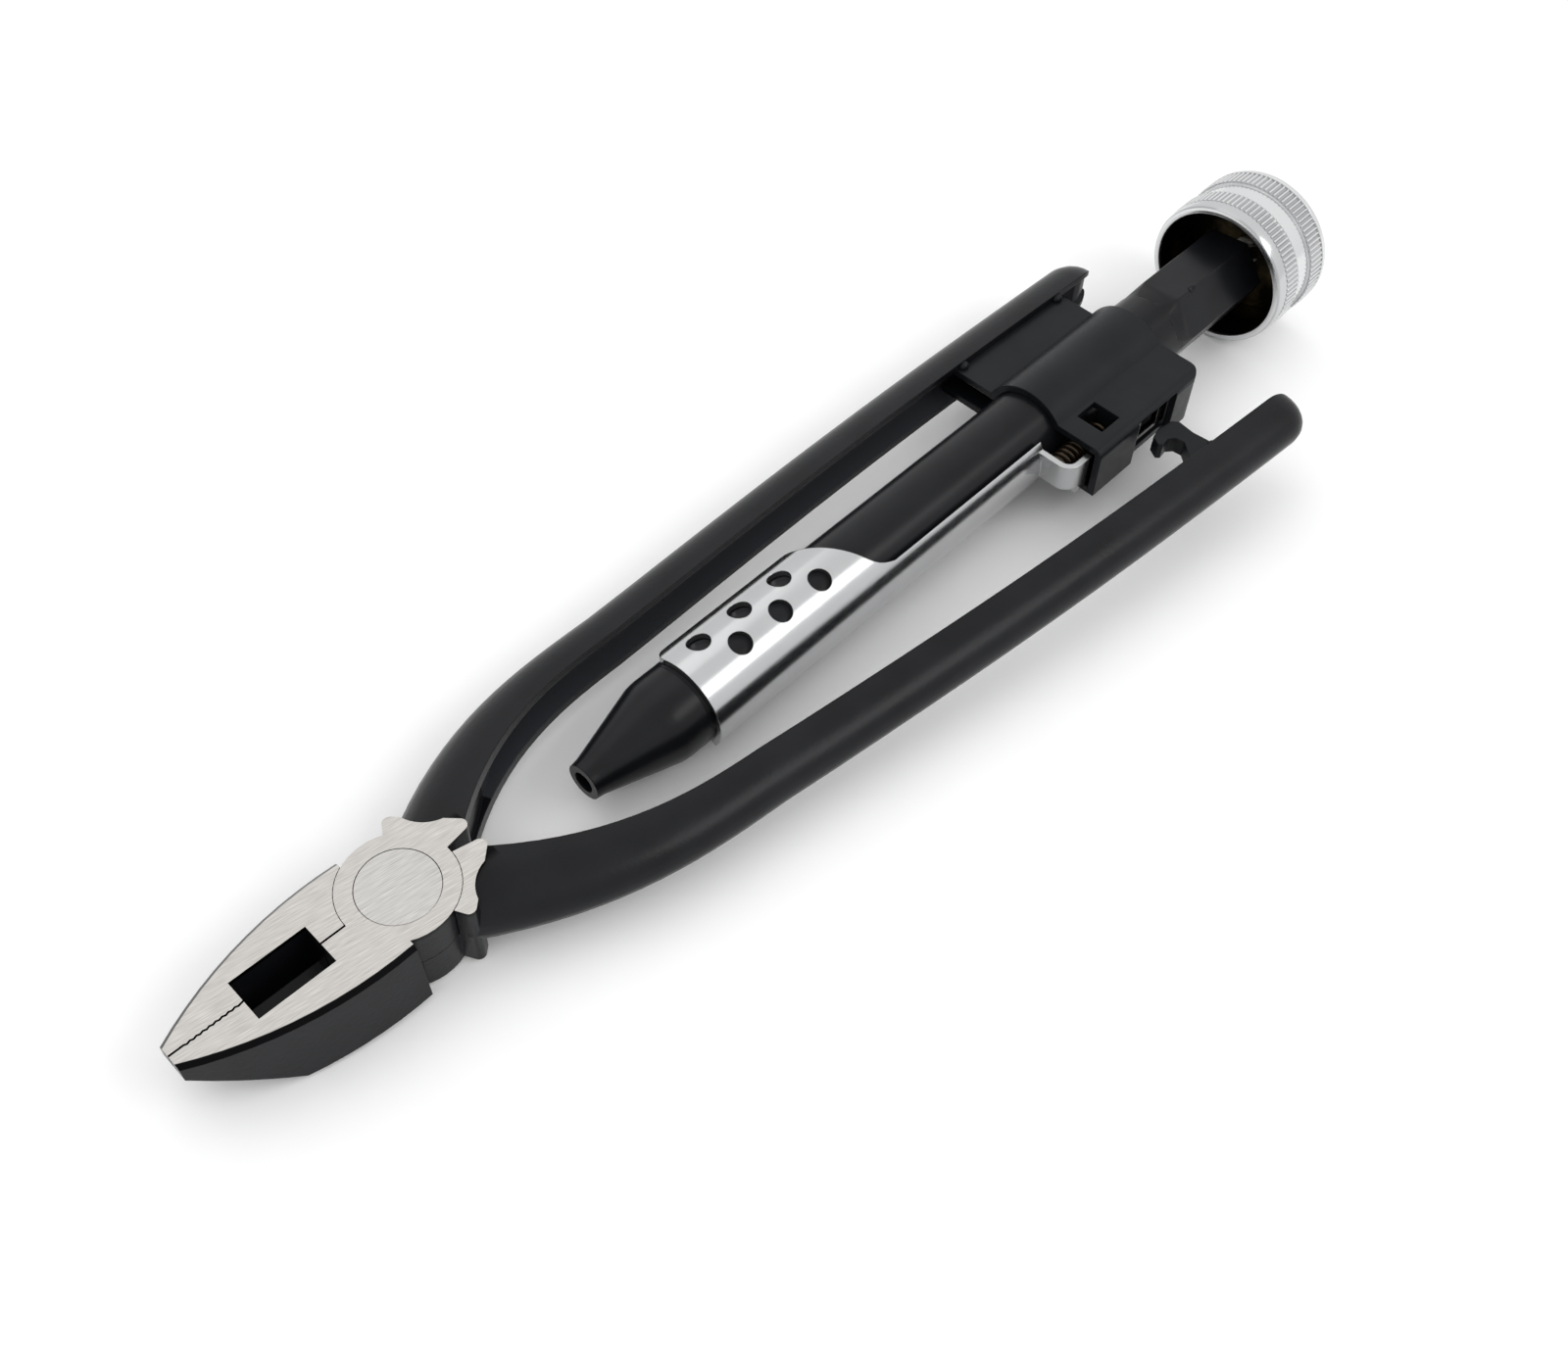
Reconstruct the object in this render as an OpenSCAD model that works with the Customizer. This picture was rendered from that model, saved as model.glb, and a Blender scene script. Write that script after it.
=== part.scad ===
// Safety wire twisting pliers, 9 inch class, closed and unlocked, lying flat.
// The pivot axis is Z through the origin, Z is zero on the ground underside of the head,
// X runs from the nose of the jaws to the knob, and Y points to the handle that carries the barrel.

/* [Head] */
// Thickness of the ground head
head_t = 12; // [10:0.5:14]
// Pivot axis to the tip of the nose
jaw_len = 33.6; // [30:0.2:42]
// Width over both jaws at their widest
jaw_w = 17.3; // [16:0.1:20]
// Pivot axis to the rear end of the jaws
jaw_rear = 3.6; // [3:0.1:5]
// Width over both jaws at the tip
tip_w = 4.2; // [3:0.1:6]
// Thickness of the nose at the tip
tip_t = 3; // [2:0.1:5]
// Length of the nose whose underside is tapered
taper_l = 13; // [8:0.1:14]
// Turn of the jaws about the pivot, away from the line of the barrel, in degrees
head_turn = 2; // [0:0.5:4]
// Chamfer along the outer edges of the jaws
jaw_chamfer = 0.7; // [0.2:0.1:1]
// Draft of the outer walls of the jaws, added at the underside
jaw_draft = 0.9; // [0:0.1:2]
// Pivot axis to the rear end of the cutter window
window_x = 11.8; // [10.5:0.1:13]
// Length of the cutter window
window_l = 11.3; // [8:0.1:13]
// Width of the cutter window
window_w = 6.6; // [5:0.1:8]
// Height of the cutting blades at the window's walls
blade_h = 3; // [2:0.1:5]
// Gap between the closed jaws
jaw_gap = 0.3; // [0.2:0.05:0.6]
// Pitch of the gripping teeth
tooth_pitch = 0.9; // [0.7:0.1:1.5]
// Depth of the gripping teeth
tooth_d = 0.15; // [0.1:0.05:0.4]

/* [Pivot] */
// Diameter of the pivot rivet
rivet_d = 11.3; // [8:0.1:13]
// Diameter of the lapped discs
lap_d = 16.2; // [15.4:0.1:17]
// Clearance round a lapped disc
lap_gap = 0.1; // [0.1:0.05:0.3]
// Clearance between the lapped flat faces
face_gap = 0.1; // [0.05:0.05:0.2]
// Radial clearance of the rivet
rivet_gap = 0.04; // [0.02:0.01:0.08]
// Chamfer on the ends of the rivet
rivet_chamfer = 0.1; // [0.1:0.1:0.5]

/* [Handles] */
// Pivot axis to the end of the fixed handle
fixed_len = 162; // [158:0.5:175]
// Pivot axis to the end of the moving handle
moving_len = 160.5; // [155:0.5:172]
// Inner edge of the fixed handle behind its bend, from the pivot's centre plane
fixed_grip = 12.4; // [12:0.1:15]
// Inner edge of the moving handle at the end of its bend, from the pivot's centre plane
moving_grip = 16.5; // [15.5:0.1:19]
// Spread of the moving handle, sideways travel for each unit of length
moving_spread = 0.1; // [0.06:0.005:0.16]
// Outward bow of the handles
handle_bow = 1; // [0:0.1:2]
// Width of the handles
handle_w = 6.6; // [6:0.1:8]
// Height of the handles
handle_h = 8.6; // [8.2:0.1:9.4]
// Width of the handles at the head
neck_w = 10.2; // [9:0.1:11]
// Height of the handles at the head
neck_h = 11; // [9:0.1:11.5]
// Length of the bend behind the head
bend_l = 38; // [32:0.5:45]
// Depth of the channel along the inner side of the handles
channel_d = 3.6; // [3:0.1:4]
// Height of that channel
channel_h = 6.2; // [5.6:0.1:6.4]
// Length of the rounding at the end of the handles
end_round = 4.5; // [3:0.5:8]

/* [Barrel] */
// Barrel axis, sideways from the pivot
barrel_y = -1.3; // [-2:0.1:0]
// Barrel axis, above the underside of the head
barrel_z = 5; // [4.6:0.1:6]
// Outside diameter of the barrel
barrel_d = 13.3; // [12.6:0.1:14]
// Wall of the barrel
barrel_wall = 1.2; // [1:0.1:1.4]
// Pivot axis to the tip of the barrel's nose
nose_x = 30; // [27:0.5:34]
// Length of the conical part of the barrel's nose
nose_l = 13.5; // [10:0.5:16]
// Length of the nose's straight part, up to the tube
nose_land = 5; // [2.5:0.5:7]
// Diameter of the nose at its tip
nose_tip_d = 5.8; // [5:0.1:7]
// Diameter of the hole in the nose
nose_hole_d = 3.4; // [2.5:0.1:4]
// Pivot axis to the rear end of the barrel
barrel_end = 183; // [178:0.5:210]
// Length of the rear end that is pressed to a hexagon
hex_l = 24; // [20:0.5:26]
// Width across the flats of that hexagon
hex_af = 12.7; // [12.2:0.1:13.2]
// Depth of the stake mark that holds the twist nut
stake_d = 0.5; // [0.2:0.1:0.7]

/* [Bracket] */
// Pivot axis to the front edge of the bracket
bracket_x = 126.3; // [122:0.5:130]
// Length of the bracket
bracket_l = 27; // [24:0.5:30]
// Thickness of the bracket's sheet
sheet_t = 1.2; // [0.8:0.1:1.5]
// Height of the lock box
box_h = 9.6; // [9:0.1:11]
// Top of the lock box above the barrel axis
box_top = 5; // [4.6:0.1:5.5]
// Barrel axis to the outer wall of the lock box
box_reach = 14.9; // [14.5:0.1:17]
// Bend radius of the lock box
box_bend = 1.6; // [1.3:0.1:2.2]
// Radius of the lock box's rear corner
corner_bend = 2.5; // [2.2:0.1:3]
// Front edge of the slot in the box's wall, from the front edge of the bracket
slot_x = 7.9; // [7:0.1:9]
// Length of the slot in the box's wall
slot_l = 12.4; // [11.5:0.1:13.5]
// Length of the front of that slot that the wall still covers
wall_lap = 2.3; // [0:0.1:2.5]

/* [Lock] */
// Pivot axis to the front edge of the lock slider
slider_x = 49; // [48:0.5:52]
// Thickness of the slider's sheet
slider_t = 1; // [0.8:0.1:1.2]
// Length of the slider's perforated grip along its open edge
grip_l = 26.5; // [26:0.5:32]
// Travel of the lock slider
lock_travel = 5.5; // [4:0.1:5.8]
// Diameter of the holes in the grip
grip_hole_d = 3.7; // [3:0.1:4.2]
// Spacing of the holes along the grip
grip_pitch = 8.2; // [7:0.1:8.4]
// Bend radius of the slider's leg
leg_bend = 2.5; // [1.5:0.1:2.6]
// Height of the slider's leg
leg_h = 4.8; // [4:0.1:5.4]
// Height of the slider's tail in the lock box
tail_h = 6.4; // [6:0.1:6.6]
// Width of the catch bar
catch_w = 2.4; // [1.8:0.1:2.8]
// Coil diameter of the lock spring, middle to middle of the wire
coil_d = 3.4; // [2.6:0.1:3.4]
// Wire diameter of the lock spring
wire_d = 0.7; // [0.5:0.05:0.8]
// Turns of the lock spring
coil_turns = 10; // [6:1:11]
// Thickness of the hook plate
hook_t = 3; // [2:0.1:3.2]

/* [Twister] */
// Pitch of the spiral rod, length of one turn
lead = 48; // [36:1:80]
// Width of the spiral rod's flat bar
bar_w = 6.4; // [5:0.1:7]
// Thickness of the spiral rod's flat bar
bar_t = 2.2; // [1.6:0.1:3]
// Clearance of the bar in the twist nut
nut_gap = 0.2; // [0.15:0.05:0.3]
// Length of the twist nut
nut_l = 10; // [6:0.5:11]
// Travel of the knob
knob_travel = 85; // [60:1:90]
// Running clearance of turned pieces
run_gap = 0.08; // [0.05:0.01:0.1]
// Length of the rod's guide collar
collar_l = 6; // [4:0.5:8]

/* [Knob] */
// Diameter of the knob
knob_d = 26; // [23:0.1:30]
// Length of the knob
knob_l = 14.8; // [13:0.1:20]
// Length of the barrel's end that the knob covers
knob_lap = 3.4; // [2.5:0.1:5]
// Length of each knurled band
band_l = 3.6; // [3:0.1:4]
// Wall of the knob
knob_wall = 1.4; // [1.2:0.1:2.5]
// Thickness of the knob's rear web
web_t = 4; // [3.5:0.1:5]
// Depth of the plain groove between the bands
groove_d = 0.6; // [0.3:0.1:0.8]
// Diameter of the knob's screw head
screw_head_d = 7; // [6.5:0.1:8]

/* [Hidden] */
$fn = 64;

mid_z = head_t / 2;
lap_r = lap_d / 2;
eps = 0.01;

// Jaws: the outer edges are arcs that are widest a little ahead of the pivot
jaw_wide_x = 2 * jaw_rear;
arc_run = jaw_len - jaw_wide_x;
arc_drop = (jaw_w - tip_w) / 2;
jaw_r = (arc_run * arc_run + arc_drop * arc_drop) / (2 * arc_drop);
teeth_front = jaw_len - tip_w / 2;
teeth_rear = window_x + window_l;
tooth_count = floor((teeth_front - teeth_rear) / tooth_pitch);

// Shoulders: two rounded corners on the pivot's polar grid, with a scallop between them
corner_r = 1;
shoulder_outer = [lap_r + 1.6, 57.6];
shoulder_inner = [lap_r + 3.4, 7.5];
shoulder_turn = 6;
scallop = [lap_r + 7.2, 36.9];
scallop_r = 5.6;

// Handles: [length, neck x, neck y, rise over the bend, spread, bow]
neck_x = lap_r + 3.1;
bend_power = 2.7;
fixed_path = [fixed_len, neck_x, 0.9, fixed_grip - 0.9, 0, handle_bow];
moving_path = [moving_len, neck_x - 0.6, 1.9, moving_grip - 1.9 - moving_spread * bend_l, moving_spread,
    1.2 * handle_bow];
root_in = 0.6;
channel_x = neck_x + 4;
channel_run = 16;
end_wall = 3;
bend_rings = 16;
grip_rings = 12;
end_rings = 8;
arc_points = 12;

// Barrel and what is inside it
barrel_r = barrel_d / 2;
bore_r = barrel_r - barrel_wall;
plug_r = bore_r - run_gap / 2;
nose_base = nose_x + nose_l + nose_land;
nose_spigot = 4;
nose_lip = 1.4;
bush_l = 4.4;
hex_turn = 23;
hex_x = barrel_end - hex_l;
hex_r = hex_af / 2 / cos(30);
nut_x = hex_x + 2.5;
ring_l = 2;
ring_x = nut_x - ring_l;
bar_r = sqrt(bar_w * bar_w + bar_t * bar_t) / 2;
rod_hole_r = bar_r + 0.35;
collar_x = ring_x - knob_travel - collar_l - 2;
spigot_r = bar_t / 2 + 0.5;
bar_x = collar_x + collar_l + 0.3;
clip_l = 1;
stub_r = 2.5;
knob_x = barrel_end - knob_lap;
knob_end = knob_x + knob_l;
web_x = knob_end - web_t;
screw_recess = 2;
washer_t = 0.8;
screw_r = 1.5;
screw_l = 7;
bar_l = web_x - 1 - bar_x;

// Bracket, measured from the barrel axis
seat_gap = 0.05;
saddle_r = barrel_r + seat_gap;
flange_h = channel_h - 0.2;
flange_top = flange_h / 2;
flange_low = -flange_h / 2;
flange_end = fixed_grip + channel_d - 0.4 - barrel_y;
box_low = box_top - box_h;

// Lock slider, measured from the barrel axis
wrap_r = barrel_r + run_gap;
wrap_out_r = wrap_r + slider_t;
wrap_from = 35;
wrap_to = 212;
arm_edge = 143;
arm_y = wrap_out_r * cos(arm_edge);
hook_leg_x = bracket_x - lock_travel;
tail_y = box_reach - sheet_t - 0.4;
tail_mid = (box_top + box_low) / 2 + 0.1;
slot_from = bracket_x + slot_x;
catch_x = slot_from + 4.4;
tail_end = slot_from + slot_l + 0.4;
hook_mid = 0;
hook_clear = 0.4;

// Lock spring, between the slider's bent leg and a tab lanced from the box
coil_y = -(tail_y - slider_t - coil_d / 2 - wire_d / 2 - 0.85);
coil_z = 0.8;
coil_from = hook_leg_x + slider_t + 0.25;
tab_x = slot_from + 0.5;
tab_w = 3;
lance_l = 4.6;
lance_w = 5;
coil_to = tab_x - 0.25;

// Two-dimensional helpers
function polar(p) = [p[0] * cos(p[1]), p[0] * sin(p[1])];
function unit(v) = v / norm(v);
function left_of(v) = [-v[1], v[0]];
function smooth(t) = let (c = max(0, min(1, t))) c * c * (3 - 2 * c);

// Lays a profile drawn in Y and Z along X
module along_x(x, l) {
    translate([x, 0, 0]) rotate([90, 0, 90]) linear_extrude(l) children();
}

module rod_x(x, l, r) {
    translate([x, 0, 0]) rotate([0, 90, 0]) cylinder(h = l, r = r);
}

// Turns a profile drawn as [x, radius] about the X axis
module turned_x() {
    rotate([0, 90, 0]) rotate_extrude() mirror([1, -1]) children();
}

module at_barrel() {
    translate([0, barrel_y, barrel_z]) children();
}

// Head
module jaw_disc() {
    translate([-jaw_wide_x, jaw_w / 2 - jaw_r, 0]) rotate_extrude($fn = 180) polygon([
        [0, 0], [jaw_r + jaw_draft - jaw_chamfer, 0], [jaw_r + jaw_draft, jaw_chamfer],
        [jaw_r, head_t - jaw_chamfer], [jaw_r - jaw_chamfer, head_t], [0, head_t]
    ]);
}

function tooth_line(side) = [
    for (i = [0 : tooth_count - 1])
        for (half = [0, 1])
            [-teeth_front + (i + half / 2) * tooth_pitch, jaw_gap / 2 + ((half == 1) ? side * tooth_d : 0)]
];

// Plan of one jaw on the +Y side of the parting line
module jaw_plan(side) {
    polygon(concat(
        [[-jaw_len, jaw_w], [-jaw_len, jaw_gap / 2]],
        tooth_line(side),
        [[-teeth_rear, jaw_gap / 2], [-teeth_rear, window_w / 2], [-window_x, window_w / 2],
         [-window_x, jaw_gap / 2], [-jaw_rear, jaw_gap / 2], [-jaw_rear, jaw_w]]
    ));
}

// Plane that takes the underside off towards the tip
module nose_taper() {
    rise = head_t - tip_t;
    rotate([90, 0, 0]) translate([0, 0, -jaw_w]) linear_extrude(2 * jaw_w) polygon([
        [-jaw_len + taper_l, 0], [-jaw_len - taper_l, 2 * rise],
        [-jaw_len - taper_l, -rise], [-jaw_len + taper_l, -rise]
    ]);
}

module blade() {
    along_x(-teeth_rear - eps, window_l + 2 * eps) polygon([
        [window_w / 2 + eps, 0], [jaw_gap / 2, blade_h * 0.6], [window_w / 2 + eps, blade_h]
    ]);
}

module jaw(side) {
    difference() {
        union() {
            intersection() {
                jaw_disc();
                linear_extrude(head_t) jaw_plan(side);
            }
            blade();
        }
        nose_taper();
    }
}

module shoulder_plan() {
    outer = polar(shoulder_outer);
    inner = polar(shoulder_inner);
    edge = left_of(unit(outer - inner)) * -corner_r;
    side_a = left_of(unit(outer)) * corner_r;
    side_b = left_of(unit(inner)) * -corner_r;
    difference() {
        union() {
            polygon([side_a, outer + side_a, outer + edge, inner + edge, inner + side_b, side_b]);
            translate(outer) circle(corner_r);
            translate(inner) circle(corner_r);
        }
        translate(polar(scallop)) circle(scallop_r);
    }
}

// Handles: the inner edge runs along a bend and then a slightly bowed grip, and drops to the barrel's height
function bend_t(p, x) = min(1, (x - p[1]) / bend_l);
function grip_t(p, x) = max(0, min(1, (x - p[1] - bend_l) / (p[0] - p[1] - bend_l)));
function edge_y(p, x) = p[2] + p[3] * (1 - pow(1 - bend_t(p, x), bend_power)) + p[4] * (x - p[1])
    + p[5] * sin(180 * grip_t(p, x));
function edge_slope(p, x) = (edge_y(p, x + 0.05) - edge_y(p, x - 0.05)) / 0.1;
function edge_z(p, x) = mid_z + (barrel_z - mid_z) * smooth((x - p[1]) / (1.3 * bend_l));
function end_t(p, x) = max(0, min(1, (p[0] - x) / end_round));
function end_shape(p, x) = sqrt(1 - pow(1 - end_t(p, x), 2));
function full_width(p, x) = handle_w + (neck_w - handle_w) * pow(1 - bend_t(p, x), 2);
function bar_width(p, x) = full_width(p, x) * (0.35 + 0.65 * end_shape(p, x));
function end_shift(p, x) = 0.3 * (full_width(p, x) - bar_width(p, x));
function end_height(p, x) = 0.5 + 0.5 * end_shape(p, x);
function bar_height(p, x) = (handle_h + (neck_h - handle_h) * pow(1 - bend_t(p, x), 2)) * end_height(p, x);
function recess(p, x) = 0.6 + (channel_d - 0.6) * smooth((x - channel_x) / channel_run)
    * smooth((p[0] - x - end_wall) / end_wall);

function grip_run(p) = p[0] - end_round - 2 * end_wall - p[1] - bend_l;
function ring_places(p) = concat(
    [for (i = [0 : bend_rings - 1]) p[1] - root_in + (bend_l + root_in) * i / bend_rings],
    [for (i = [0 : grip_rings]) p[1] + bend_l + grip_run(p) * i / grip_rings],
    [p[0] - end_round - end_wall],
    [for (i = [0 : end_rings]) p[0] - end_round * (1 - sin(90 * i / end_rings))]
);

// A half oval outside and a square channel inside
function ring_profile(p, x) = let (
    w = bar_width(p, x), h = bar_height(p, x), d = recess(p, x), c = channel_h / 2 * end_height(p, x)
) concat(
    [for (k = [0 : arc_points]) let (a = -90 + 180 * k / arc_points) [w * cos(a), h / 2 * sin(a)]],
    [[0, c], [d, c], [d, -c], [0, -c]]
);
function ring_at(p, x) = let (s = edge_slope(p, x), n = unit([-s, 1]), o = end_shift(p, x)) [
    for (q = ring_profile(p, x))
        [x + n[0] * (q[0] + o), edge_y(p, x) + n[1] * (q[0] + o), edge_z(p, x) + q[1]]
];

// The end face of a ring as triangles that meet at the channel's two inner corners
function end_face() = let (half = arc_points / 2, top = arc_points + 2, low = arc_points + 3) concat(
    [for (k = [0 : half - 1]) [low, k, k + 1]],
    [for (k = [half : arc_points]) [top, k, k + 1]],
    [[low, half, top], [low, low + 1, 0]]
);

module handle_bar(p) {
    places = ring_places(p);
    m = arc_points + 5;
    last = len(places) - 1;
    polyhedron(
        points = [for (x = places) each ring_at(p, x)],
        faces = concat(
            end_face(),
            [for (i = [0 : last - 1]) for (k = [0 : m - 1])
                let (a = i * m + k, b = i * m + (k + 1) % m) each [[a, b + m, b], [a, a + m, b + m]]],
            [for (t = end_face()) [last * m + t[2], last * m + t[1], last * m + t[0]]]
        )
    );
}

// One forged half: jaw, lapped disc, shoulder and handle, with the other half's disc cut away
module forged_half(p, side, turn, disc_z, cut_z) {
    lap_t = mid_z - face_gap / 2;
    difference() {
        union() {
            difference() {
                union() {
                    mirror([0, 1, 0]) rotate(side == 1 ? head_turn : -head_turn) jaw(side);
                    rotate(turn) linear_extrude(head_t) shoulder_plan();
                    handle_bar(p);
                }
                translate([0, 0, cut_z])
                    cylinder(h = mid_z + 1 + face_gap / 2, r = lap_r + lap_gap, $fn = 120);
                translate([0, 0, -1]) cylinder(h = head_t + 2, r = (rivet_d / 2 + lap_r) / 2, $fn = 96);
            }
            translate([0, 0, disc_z]) cylinder(h = lap_t, r = lap_r, $fn = 120);
        }
        translate([0, 0, -1]) cylinder(h = head_t + 2, r = rivet_d / 2 + rivet_gap, $fn = 96);
    }
}

module handle_jaw_fixed() {
    color("dimgray") forged_half(fixed_path, 1, 0, mid_z + face_gap / 2, -1);
}

module handle_jaw_moving() {
    color("dimgray") mirror([0, 1, 0])
        forged_half(moving_path, -1, shoulder_turn, 0, mid_z - face_gap / 2);
}

module pivot_rivet() {
    r = rivet_d / 2;
    color("lightgray") rotate_extrude($fn = 96) polygon([
        [0, 0], [r - rivet_chamfer, 0], [r, rivet_chamfer],
        [r, head_t - rivet_chamfer], [r - rivet_chamfer, head_t], [0, head_t]
    ]);
}

// Bracket: two pressed shells, drawn across the barrel axis
module saddle_band(low, high) {
    intersection() {
        difference() {
            circle(saddle_r + sheet_t, $fn = 120);
            circle(saddle_r, $fn = 120);
        }
        polygon([[-20, high], [0, high], [0, low], [20, low], [20, 20], [-20, 20]]);
    }
}

module rounded_corner_square(w, h, r) {
    translate([r, 0]) square([w - r, h]);
    square([w, h - r]);
    translate([r, h - r]) circle(r);
}

module top_shell_profile() {
    saddle_band(flange_top - sheet_t, box_top - sheet_t);
    difference() {
        union() {
            translate([0, flange_top - sheet_t]) square([flange_end, sheet_t]);
            difference() {
                translate([-box_reach, box_low]) rounded_corner_square(box_reach, box_h, box_bend);
                translate([sheet_t - box_reach, box_low - 1])
                    rounded_corner_square(box_reach, box_h + 1 - sheet_t, box_bend - sheet_t + eps);
            }
        }
        circle(saddle_r, $fn = 120);
    }
}

module bottom_shell_profile() {
    mirror([0, 1]) saddle_band(-flange_low - sheet_t, -box_low - sheet_t);
    difference() {
        union() {
            translate([0, flange_low]) square([flange_end, sheet_t]);
            translate([sheet_t + seat_gap - box_reach, box_low])
                square([box_reach - sheet_t - seat_gap, sheet_t]);
        }
        circle(saddle_r, $fn = 120);
    }
}

// What a rounding takes off the box's rear corner
module corner_cut(inset) {
    r = corner_bend - inset;
    translate([bracket_x + bracket_l - corner_bend, corner_bend - box_reach, box_low - 1])
        linear_extrude(box_h + 2) difference() {
            translate([0, -corner_bend - 1]) square(corner_bend + 1);
            circle(r);
        }
}

// The wall that goes round that corner
module box_corner() {
    r = corner_bend - seat_gap;
    translate([bracket_x + bracket_l - corner_bend, corner_bend - box_reach, box_low])
        linear_extrude(box_h - sheet_t + 0.1) intersection() {
            difference() {
                circle(r);
                circle(corner_bend - sheet_t);
            }
            translate([-0.2, -corner_bend]) square([corner_bend + 0.2, corner_bend]);
        }
}

module bracket_top_shell() {
    color("#2b2d30") at_barrel() {
        difference() {
            along_x(bracket_x, bracket_l) top_shell_profile();
            corner_cut(0);
            translate([slot_from + wall_lap, -box_reach - 1, box_low - 1])
                cube([slot_l - wall_lap, 1 + sheet_t + eps, box_h - box_bend / 2 + 1]);
            translate([tab_x - lance_l, coil_y - lance_w / 2, 0])
                cube([lance_l, lance_w, box_top + 1]);
        }
        translate([tab_x, coil_y - tab_w / 2, coil_z - coil_d / 2])
            cube([sheet_t, tab_w, box_top - sheet_t / 2 - coil_z + coil_d / 2]);
        box_corner();
    }
}

module bracket_bottom_shell() {
    color("#2b2d30") at_barrel() difference() {
        along_x(bracket_x, bracket_l) bottom_shell_profile();
        corner_cut(sheet_t + seat_gap);
    }
}

// Tacks that fix the flanges in the fixed handle's channel
bead_r = 1;
bead_inset = 1.5;

module bracket_weld_beads() {
    color("#222326")
        for (x = [bracket_x + bead_inset, bracket_x + bracket_l - bead_inset])
            for (side = [-1, 1])
                translate([x, edge_y(fixed_path, x), barrel_z + side * channel_h / 2])
                    sphere(bead_r, $fn = 32);
}

// Barrel
module barrel_tube() {
    stake_x = nut_x + nut_l / 2;
    stake_r = 1;
    color("#1c1d1f") at_barrel() difference() {
        union() {
            rod_x(nose_base, hex_x - nose_base, barrel_r);
            intersection() {
                turned_x() polygon([
                    [hex_x - eps, 0], [hex_x - eps, barrel_r], [hex_x + 4, hex_r - seat_gap],
                    [barrel_end, hex_r - seat_gap], [barrel_end, 0]
                ]);
                translate([hex_x - 1, 0, 0]) rotate([hex_turn, 0, 0]) rotate([0, 90, 0])
                    cylinder(h = hex_l + 2, r = hex_r, $fn = 6);
            }
        }
        rod_x(nose_base - 1, barrel_end - nose_base + 2, bore_r);
        translate([stake_x, 0, 0]) rotate([hex_turn, 0, 0]) translate([0, 0, hex_r + stake_r - stake_d])
            sphere(stake_r, $fn = 32);
    }
}

module barrel_nose() {
    hole_r = nose_hole_d / 2;
    tip_r = nose_tip_d / 2;
    color("#1c1d1f") at_barrel() turned_x() polygon([
        [nose_x, hole_r], [nose_x, tip_r], [nose_x + nose_lip, tip_r + 0.2],
        [nose_x + nose_l, barrel_r - 0.15], [nose_x + nose_l + nose_lip, barrel_r], [nose_base, barrel_r],
        [nose_base, plug_r], [nose_base + nose_spigot, plug_r],
        [nose_base + nose_spigot, plug_r - barrel_wall],
        [nose_base, plug_r - barrel_wall], [nose_x + 3 * nose_lip, hole_r]
    ]);
}

// A length of the flat bar's spiral, in step with the rest of it
module spiral(x, l, grow) {
    turn = 360 * (x - bar_x) / lead;
    translate([x, 0, 0]) rotate([turn, 0, 0]) rotate([90, 0, 90])
        linear_extrude(l, twist = -360 * l / lead, slices = ceil(24 * l / lead), segments = 8)
            square([bar_w + 2 * grow, bar_t + 2 * grow], center = true);
}

module twist_nut() {
    color("darkgoldenrod") at_barrel() difference() {
        rod_x(nut_x, nut_l, plug_r);
        spiral(nut_x - 1, nut_l + 2, nut_gap);
    }
}

module bore_ring(x, l, hole_r) {
    difference() {
        rod_x(x, l, plug_r);
        rod_x(x - 1, l + 2, hole_r);
    }
}

module nut_front_ring() {
    color("gray") at_barrel() bore_ring(ring_x, ring_l, rod_hole_r);
}

module barrel_end_bush() {
    color("gray") at_barrel() bore_ring(barrel_end - bush_l, bush_l, rod_hole_r);
}

// Twister
module rod_guide_collar() {
    color("darkgoldenrod") at_barrel() difference() {
        rod_x(collar_x, collar_l, bore_r - run_gap);
        rod_x(collar_x - 1, collar_l + 2, spigot_r + run_gap);
    }
}

module spiral_rod() {
    color("silver") at_barrel() difference() {
        union() {
            rod_x(collar_x - clip_l - 1, bar_x - collar_x + clip_l + 1 + eps, spigot_r);
            spiral(bar_x, bar_l, 0);
            rod_x(bar_x + bar_l - eps, knob_end - screw_recess - bar_x - bar_l + eps, stub_r);
        }
        rod_x(knob_end - screw_recess - screw_l - 0.5, screw_l + 1, screw_r + seat_gap);
    }
}

module collar_clip() {
    color("gray") at_barrel() difference() {
        rod_x(collar_x - clip_l - 0.2, clip_l, spigot_r + 1.6);
        rod_x(collar_x - clip_l - 1, clip_l + 2, spigot_r + seat_gap / 2);
    }
}

// Knob: a turned cup with a rounded front rim, two raised bands and a rear rim
module knob() {
    r = knob_d / 2;
    bead = 0.6;
    rim_r = r - 0.1;
    band_r = r - 0.2;
    x4 = knob_end - 2 * bead;
    x3 = x4 - band_l;
    x1 = knob_x + 2.6;
    x2 = x1 + band_l;
    color("gainsboro") at_barrel() turned_x() polygon([
        [knob_x + bead, r - knob_wall], [knob_x, r - knob_wall + 0.2], [knob_x, rim_r - bead],
        [knob_x + 0.3 * bead, rim_r - 0.3 * bead], [knob_x + bead, rim_r],
        [x1, rim_r], [x1, band_r], [x2, band_r], [x2, r - groove_d],
        [x3, r - groove_d], [x3, band_r], [x4, band_r], [x4, r], [knob_end - bead, r],
        [knob_end - 0.3 * bead, r - 0.3 * bead], [knob_end, r - bead], [knob_end, screw_head_d / 2 + 1.2],
        [knob_end - screw_recess, screw_head_d / 2 + 1.2],
        [knob_end - screw_recess, stub_r + seat_gap], [web_x, stub_r + seat_gap], [web_x, r - knob_wall]
    ]);
}

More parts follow.
